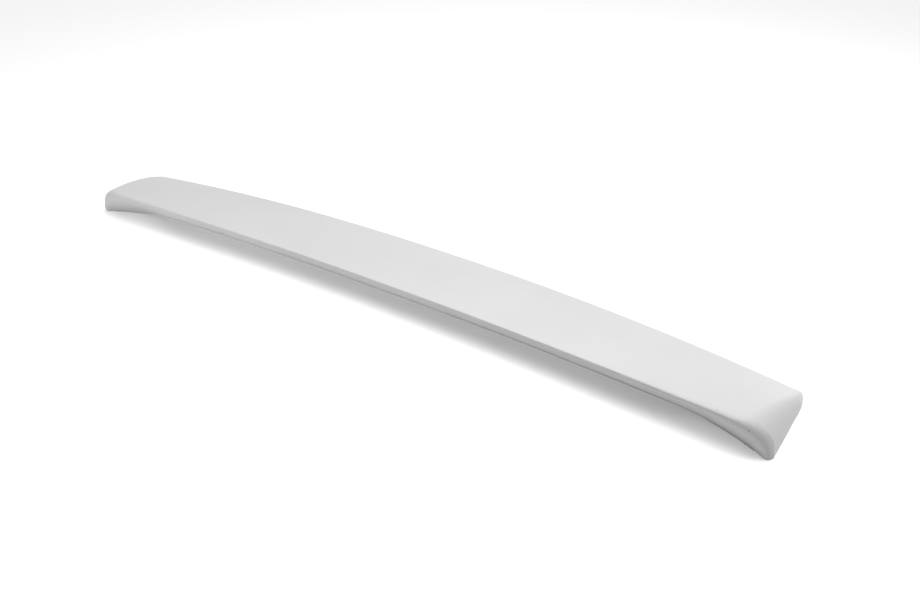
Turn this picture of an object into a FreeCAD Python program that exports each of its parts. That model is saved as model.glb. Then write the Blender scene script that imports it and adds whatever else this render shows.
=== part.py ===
import FreeCAD, Part
import math
import os

# Rear roof spoiler: one open-backed moulding that stands on a foot at each end.
# X runs along the span, +Y points to the leading edge, Z is up from the bonding plane.

# Overall size
HALF_SPAN = 597.0
FOOT_X = 587.0
FOOT_Y = -85.0
FOOT_FRONT = 24.0

# Leading edge: place at mid span, then how far it falls back and down at the ends
LEAD_Y = 87.0
LEAD_Z = 22.5
LEAD_BOW = 29.0
LEAD_CROWN = 13.5

# Crest of the trailing edge, in the same terms
CREST_Y = -67.3
CREST_Z = 45.5
CREST_BOW = 26.1
CREST_CROWN = -2.5
BOW_POWER = 2.2
BOW_X = 575.0

# Section of the blade
WALL = 4.0
LEAD_WALL = 2.6
FOOT_WALL = 10.0
MID_CAMBER = -1.5
END_CAMBER = 7.0
FACE_HEIGHT = 18.0
FACE_SET_IN = 6.3
FACE_HOLLOW = 1.6
CREST_SOFT_MID = 2.5
CREST_SOFT_END = 18.0
BEAD_HEIGHT = 2.4
BEAD_OUT = 1.2

# Ends: rolled down to the bonding plane, the face dropping into the foot
ROLL_LEAD = 6.0
ROLL_CREST = 46.0
CORNER_CUT = 4.0
CORNER_SHARE = 0.1
FAN_START = 300.0
BLADE_END = 545.0
LIP_BLADE_END = 505.0
DROP_START = 400.0
DROP_SHARE = 0.86
DROP_TUCK = 14.3
DROP_SCOOP = 13.0
SCOOP_POWER = 1.5
DROP_KNEE = 14.0

# Sections of the loft
BLADE_SECTIONS = 15
ROLL_SECTIONS = 6
LOFT_DEGREE = 3
STEP = 1e-3


def bow(x, amount):
    return amount * abs(x / BOW_X) ** BOW_POWER


def lerp(start, end, share):
    return start + (end - start) * share


def ease(share):
    return share * share * (3.0 - 2.0 * share)


def lead_at(x):
    return LEAD_Y - bow(x, LEAD_BOW), LEAD_Z - bow(x, LEAD_CROWN)


def crest_at(x):
    return CREST_Y - bow(x, CREST_BOW), CREST_Z - bow(x, CREST_CROWN)


def end_outline(v):
    # x of the end outline on the bonding plane, from the leading corner (v=0) to the foot (v=1)
    rounding = max(0.0, 1.0 - min(v, 1.0 - v) / CORNER_SHARE)
    return lerp(HALF_SPAN, FOOT_X, v) - CORNER_CUT * rounding ** 2


def split_station(t):
    # a station up to 1 lies on the blade, from 1 to 2 on the rolled end
    along = min(abs(t), 1.0)
    turn = max(abs(t) - 1.0, 0.0) * math.pi / 2
    side = -1.0 if t < 0 else 1.0
    return along, turn, side


def fan(along):
    return max(0.0, (along * BLADE_END - FAN_START) / (BLADE_END - FAN_START)) ** 2


def top_point(t, v):
    along, turn, side = split_station(t)
    roll = lerp(ROLL_LEAD, ROLL_CREST, v)
    roll_start = end_outline(v) - roll
    x = along * BLADE_END + (roll_start - BLADE_END) * fan(along) + roll * math.sin(turn)
    lead_y, lead_z = lead_at(x)
    crest_y, crest_z = crest_at(x)
    drop = 1.0 - math.cos(turn)
    y = lerp(lead_y, crest_y, v) + (FOOT_Y - crest_y) * v ** 2 * drop
    camber = lerp(MID_CAMBER, END_CAMBER, fan(along))
    z = lerp(lead_z, crest_z, v) + camber * 4 * v * (1 - v)
    return FreeCAD.Vector(side * x, y, z * (1.0 - drop))


def lip_station(t):
    # x of the lower edge of the face, and how far it has gone on its way down to the foot
    along, turn, side = split_station(t)
    lip_end = FOOT_X - FOOT_FRONT
    x = along * BLADE_END + (LIP_BLADE_END - BLADE_END) * fan(along)
    x += (lip_end - LIP_BLADE_END) * math.sin(turn)
    return x, max(0.0, (x - DROP_START) / (lip_end - DROP_START)), side


def lip_point(t):
    x, share, side = lip_station(t)
    crest_y, crest_z = crest_at(x)
    drop = ease(min(1.0, share / DROP_SHARE))
    scoop = DROP_SCOOP * math.sin(math.pi * share ** SCOOP_POWER)
    y = crest_y + FACE_SET_IN + DROP_TUCK * drop + scoop
    z = (crest_z - FACE_HEIGHT) * (1.0 - drop)
    return FreeCAD.Vector(side * x, y, z)


def face_point(t, w):
    # slightly hollow along the blade, and with a knee above the scooped side of the foot
    along, turn, side = split_station(t)
    knee = DROP_KNEE * ease(lip_station(t)[1]) * math.cos(turn) ** 2
    bulge = (FACE_HOLLOW - knee) * 2 * w * (1 - w)
    return lerp(top_point(t, 1.0), lip_point(t), w) + FreeCAD.Vector(0, bulge, 0)


def normal(surface, t, share, outward):
    # unit normal of a surface of (t, share), turned to the side of the outward vector
    t_low = max(t - STEP, -2.0)
    t_high = min(t + STEP, 2.0)
    s_low = max(share - STEP, 0.0)
    s_high = min(share + STEP, 1.0)
    along = surface(t_high, share) - surface(t_low, share)
    across = surface(t, s_high) - surface(t, s_low)
    n = along.cross(across)
    n.normalize()
    return n if n.dot(outward) > 0 else n.negative()


def inside(surface, t, share, outward, wall):
    return surface(t, share) - normal(surface, t, share, outward) * wall


def wall_at(t, v):
    along, turn, side = split_station(t)
    blade = lerp(LEAD_WALL, WALL, min(1.0, v * 4))
    return lerp(blade, lerp(WALL, FOOT_WALL, v), math.sin(turn) ** 2)


def on_plane(t, point):
    if abs(t) == 2.0:
        point.z = 0.0
    return point


def spline(points):
    curve = Part.BSplineCurve()
    shares = [k / (len(points) - 1) for k in range(len(points))]
    curve.interpolate(Points=points, Parameters=shares)
    return curve.toShape()


def bend(start, corner, end):
    curve = Part.BezierCurve()
    curve.setPoles([start, corner, end])
    return curve.toShape()


def section(t):
    # closed loop: top, crest, face, bead, rim, then back along the inside
    up = FreeCAD.Vector(0, 0, 1)
    back = FreeCAD.Vector(0, -1, 0)
    along, turn, side = split_station(t)
    out = up * math.cos(turn) + FreeCAD.Vector(side, 0, 0) * math.sin(turn)
    soft = lerp(CREST_SOFT_MID, CREST_SOFT_END, fan(along))
    crest = top_point(t, 1.0)
    lip = lip_point(t)
    soft = min(soft, (lip - crest).Length / 2)
    v_soft = 1.0 - soft / (top_point(t, 0.0) - crest).Length
    w_soft = soft / (lip - crest).Length
    w_bead = 1.0 - BEAD_HEIGHT / (lip - crest).Length

    top = [top_point(t, v_soft * k / 6) for k in range(7)]
    face = [face_point(t, lerp(w_soft, w_bead, k / 5)) for k in range(6)]
    bend_start = lerp(top[-1], crest, 0.5)
    bend_end = lerp(crest, face[0], 0.5)
    bend_middle = lerp(bend_start, bend_end, 0.5)
    bead_edge = lerp(face[-1], lip, 0.5) + back * BEAD_OUT
    bead_foot = lip + back * BEAD_OUT

    n_top = normal(top_point, t, 1.0, out)
    n_face = normal(face_point, t, 0.0, back)
    corner = crest - (n_top + n_face) * (wall_at(t, 1.0) / (1.0 + n_top.dot(n_face)))
    rim = inside(face_point, t, 1.0, back, wall_at(t, 1.0))
    rim.z = lip.z
    corner = on_plane(t, corner)
    inner_top = [inside(top_point, t, v, out, wall_at(t, v)) for v in (0.8, 0.6, 0.4, 0.2, 0.0)]
    inner_top = [corner] + [on_plane(t, p) for p in inner_top]

    edges = [
        spline(top),
        bend(top[-1], bend_start, bend_middle),
        bend(bend_middle, bend_end, face[0]),
        spline(face),
        Part.makeLine(face[-1], bead_edge),
        Part.makeLine(bead_edge, bead_foot),
        Part.makeLine(bead_foot, rim),
        Part.makeLine(rim, corner),
        spline(inner_top),
        Part.makeLine(inner_top[-1], top[0]),
    ]
    return Part.Wire(edges)


blade_stations = [lerp(-1.0, 1.0, k / (BLADE_SECTIONS - 1)) for k in range(BLADE_SECTIONS)]
end_stations = [1.0 + k / ROLL_SECTIONS for k in range(ROLL_SECTIONS + 1)]
blade = Part.makeLoft([section(t) for t in blade_stations], False, False, False, LOFT_DEGREE)
end = Part.makeLoft([section(t) for t in end_stations], False, False, False, LOFT_DEGREE)
foot = Part.Face(section(2.0))
faces = blade.Faces
for half in (end, foot):
    faces += half.Faces
    faces += half.mirror(FreeCAD.Vector(), FreeCAD.Vector(1, 0, 0)).Faces
skin = Part.makeShell(faces)
skin.sewShape()
spoiler = Part.makeSolid(skin)

os.makedirs("parts", exist_ok=True)
spoiler.exportStep("parts/spoiler.step")
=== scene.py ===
import math

import bpy
from mathutils import Euler, Matrix, Vector

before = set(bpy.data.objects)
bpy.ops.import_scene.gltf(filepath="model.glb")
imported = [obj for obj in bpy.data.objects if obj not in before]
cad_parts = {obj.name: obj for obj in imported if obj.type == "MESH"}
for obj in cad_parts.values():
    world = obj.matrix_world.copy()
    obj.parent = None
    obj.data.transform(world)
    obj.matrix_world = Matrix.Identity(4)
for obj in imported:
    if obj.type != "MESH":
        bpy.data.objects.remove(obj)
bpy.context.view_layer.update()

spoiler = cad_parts["spoiler"]

# satin primer straight from the spray gun, with a faint orange peel and a few pinholes
primer = {
    "pale": (0.395, 0.395, 0.397, 1),
    "deep": (0.38, 0.38, 0.382, 1),
    "specular": 0.25,
    "roughness": 0.48,
    "roughnessSpread": 0.05,
    "mottleScale": 9.0,
    "mottleDetail": 5,
    "mottleDeepAt": 0.35,
    "mottlePaleAt": 0.65,
    "peelScale": 520.0,
    "peelDetail": 2,
    "peelStrength": 0.05,
    "peelHeight": 0.0005,
    "pinholeColour": (0.10, 0.10, 0.10, 1),
    "pinholes": [
        {"place": (0.5545, -0.0861, 0.0379), "radius": 0.0008},
        {"place": (0.5526, -0.0684, 0.0010), "radius": 0.0008},
        {"place": (0.5133, -0.0797, 0.0460), "radius": 0.0007},
        {"place": (0.1318, -0.0444, 0.0412), "radius": 0.0007},
        {"place": (0.2091, -0.0205, 0.0366), "radius": 0.0005},
        {"place": (-0.5216, 0.0384, 0.0196), "radius": 0.0010},
        {"place": (-0.3042, -0.0684, 0.0324), "radius": 0.0011},
    ],
}

# sockets of a colour mix
mixFactor, mixFirst, mixSecond, mixResult = 0, 6, 7, 2


def addNode(tree, kind, values=None):
    node = tree.nodes.new(kind)
    for socket, value in (values or {}).items():
        node.inputs[socket].default_value = value
    return node


def inPinhole(tree, place, holes):
    # 1 inside any of the pinholes, 0 elsewhere
    inAny = None
    for hole in holes:
        reach = addNode(tree, "ShaderNodeVectorMath", {1: hole["place"]})
        reach.operation = "DISTANCE"
        tree.links.new(place, reach.inputs[0])
        inHole = addNode(tree, "ShaderNodeMath", {1: hole["radius"]})
        inHole.operation = "LESS_THAN"
        tree.links.new(reach.outputs["Value"], inHole.inputs[0])
        if inAny is None:
            inAny = inHole
            continue
        both = addNode(tree, "ShaderNodeMath")
        both.operation = "MAXIMUM"
        tree.links.new(inAny.outputs["Value"], both.inputs[0])
        tree.links.new(inHole.outputs["Value"], both.inputs[1])
        inAny = both
    return inAny.outputs["Value"]


def makePrimer(look):
    mat = bpy.data.materials.new("satinPrimer")
    mat.use_nodes = True
    tree = mat.node_tree
    bsdf = tree.nodes["Principled BSDF"]
    bsdf.inputs["Specular IOR Level"].default_value = look["specular"]
    place = tree.nodes.new("ShaderNodeTexCoord").outputs["Object"]

    # slow drift between two greys, as sprayed coats overlap
    mottle = addNode(tree, "ShaderNodeTexNoise", {
        "Scale": look["mottleScale"],
        "Detail": look["mottleDetail"],
    })
    tree.links.new(place, mottle.inputs["Vector"])
    tone = addNode(tree, "ShaderNodeValToRGB")
    deepEnd, paleEnd = tone.color_ramp.elements
    deepEnd.position = look["mottleDeepAt"]
    deepEnd.color = look["deep"]
    paleEnd.position = look["mottlePaleAt"]
    paleEnd.color = look["pale"]
    tree.links.new(mottle.outputs["Fac"], tone.inputs["Fac"])

    paint = addNode(tree, "ShaderNodeMix")
    paint.data_type = "RGBA"
    paint.inputs[mixSecond].default_value = look["pinholeColour"]
    tree.links.new(inPinhole(tree, place, look["pinholes"]), paint.inputs[mixFactor])
    tree.links.new(tone.outputs["Color"], paint.inputs[mixFirst])
    tree.links.new(paint.outputs[mixResult], bsdf.inputs["Base Color"])

    # the coat is a little duller where it is paler
    gloss = addNode(tree, "ShaderNodeMapRange", {
        "To Min": look["roughness"] - look["roughnessSpread"],
        "To Max": look["roughness"] + look["roughnessSpread"],
    })
    tree.links.new(mottle.outputs["Fac"], gloss.inputs["Value"])
    tree.links.new(gloss.outputs["Result"], bsdf.inputs["Roughness"])

    # orange peel
    peel = addNode(tree, "ShaderNodeTexNoise", {
        "Scale": look["peelScale"],
        "Detail": look["peelDetail"],
    })
    tree.links.new(place, peel.inputs["Vector"])
    bump = addNode(tree, "ShaderNodeBump", {
        "Strength": look["peelStrength"],
        "Distance": look["peelHeight"],
    })
    tree.links.new(peel.outputs["Fac"], bump.inputs["Height"])
    tree.links.new(bump.outputs["Normal"], bsdf.inputs["Normal"])
    return mat


spoiler.data.materials.clear()
spoiler.data.materials.append(makePrimer(primer))
print("primer on the spoiler")

# pale light table
floorLook = {
    "size": 14.0,
    "grey": (0.76, 0.76, 0.76, 1),
    "roughness": 0.9,
    "specular": 0.0,
    "glowColour": (1.0, 1.0, 1.0, 1),
    "glow": 0.22,
}


def makeFloor(look):
    bpy.ops.mesh.primitive_plane_add(size=look["size"])
    floor = bpy.context.object
    floor.name = "studioFloor"
    mat = bpy.data.materials.new("paperFloor")
    mat.use_nodes = True
    bsdf = mat.node_tree.nodes["Principled BSDF"]
    bsdf.inputs["Base Color"].default_value = look["grey"]
    bsdf.inputs["Roughness"].default_value = look["roughness"]
    bsdf.inputs["Specular IOR Level"].default_value = look["specular"]
    bsdf.inputs["Emission Color"].default_value = look["glowColour"]
    bsdf.inputs["Emission Strength"].default_value = look["glow"]
    floor.data.materials.append(mat)


makeFloor(floorLook)
print("floor laid")

# a white room, a soft box overhead, a low card in front and another off the right end
studio = {
    "room": (1.0, 1.0, 1.0, 1),
    "brightSide": (-0.45, 0.6, 0.62),
    "dimFrom": -0.1,
    "roomDim": 0.04,
    "roomBright": 1.6,
    "roomSeen": 0.9,
    "boxes": [
        {
            "name": "topBox", "size": 1.1, "power": 16.5,
            "place": (0.3, 0.22, 1.2), "aim": (0.1, 0.0, 0.0),
        },
        {
            "name": "leftCard", "size": 0.4, "power": 3.1,
            "place": (-0.5, -0.75, 0.25), "aim": (-0.25, -0.08, 0.03),
        },
        {
            "name": "rightCard", "size": 0.6, "power": 4.0,
            "place": (1.5, 0.35, 0.55), "aim": (0.58, 0.0, 0.02),
        },
    ],
}


def makeRoom(look):
    world = bpy.data.worlds.new("whiteRoom")
    bpy.context.scene.world = world
    world.use_nodes = True
    tree = world.node_tree
    lit = tree.nodes["Background"]
    lit.inputs["Color"].default_value = look["room"]
    # brightest up, to the left and beyond the part, dimmest low in front of it
    direction = tree.nodes.new("ShaderNodeTexCoord").outputs["Generated"]
    side = addNode(tree, "ShaderNodeVectorMath", {1: Vector(look["brightSide"]).normalized()})
    side.operation = "DOT_PRODUCT"
    tree.links.new(direction, side.inputs[0])
    share = addNode(tree, "ShaderNodeMapRange", {
        "From Min": look["dimFrom"],
        "To Min": look["roomDim"],
        "To Max": look["roomBright"],
    })
    tree.links.new(side.outputs["Value"], share.inputs["Value"])
    tree.links.new(share.outputs["Result"], lit.inputs["Strength"])
    # beyond the floor the picture shows plain white
    plain = addNode(tree, "ShaderNodeBackground", {"Color": look["room"], "Strength": look["roomSeen"]})
    ray = tree.nodes.new("ShaderNodeLightPath")
    pick = tree.nodes.new("ShaderNodeMixShader")
    tree.links.new(ray.outputs["Is Camera Ray"], pick.inputs[0])
    tree.links.new(lit.outputs["Background"], pick.inputs[1])
    tree.links.new(plain.outputs["Background"], pick.inputs[2])
    tree.links.new(pick.outputs["Shader"], tree.nodes["World Output"].inputs["Surface"])


def makeBox(box):
    lamp = bpy.data.lights.new(box["name"], "AREA")
    lamp.shape = "SQUARE"
    lamp.size = box["size"]
    lamp.energy = box["power"]
    lampObject = bpy.data.objects.new(box["name"], lamp)
    bpy.context.collection.objects.link(lampObject)
    lampObject.location = box["place"]
    aim = Vector(box["aim"]) - lampObject.location
    lampObject.rotation_euler = aim.to_track_quat("-Z", "Y").to_euler()


makeRoom(studio)
for softBox in studio["boxes"]:
    makeBox(softBox)
print("room and lights set")

# camera worked out from the edges in the photograph
shot = {
    "place": (0.6265, -0.8549, 0.7024),
    "down": 35.168,
    "turn": 31.228,
    "roll": 0.306,
    "lens": 31.971,
    "sensor": 36.0,
    "near": 0.01,
}


def makeCamera(look):
    cam = bpy.data.cameras.new("photoCamera")
    cam.lens = look["lens"]
    cam.sensor_width = look["sensor"]
    cam.clip_start = look["near"]
    camera = bpy.data.objects.new("photoCamera", cam)
    bpy.context.collection.objects.link(camera)
    camera.location = look["place"]
    pan = Euler((math.radians(90 - look["down"]), 0, math.radians(look["turn"])))
    roll = Matrix.Rotation(math.radians(look["roll"]), 3, "Z")
    camera.rotation_euler = (pan.to_matrix() @ roll).to_euler()
    bpy.context.scene.camera = camera


makeCamera(shot)
bpy.context.scene.view_settings.view_transform = "Standard"
print("camera set")
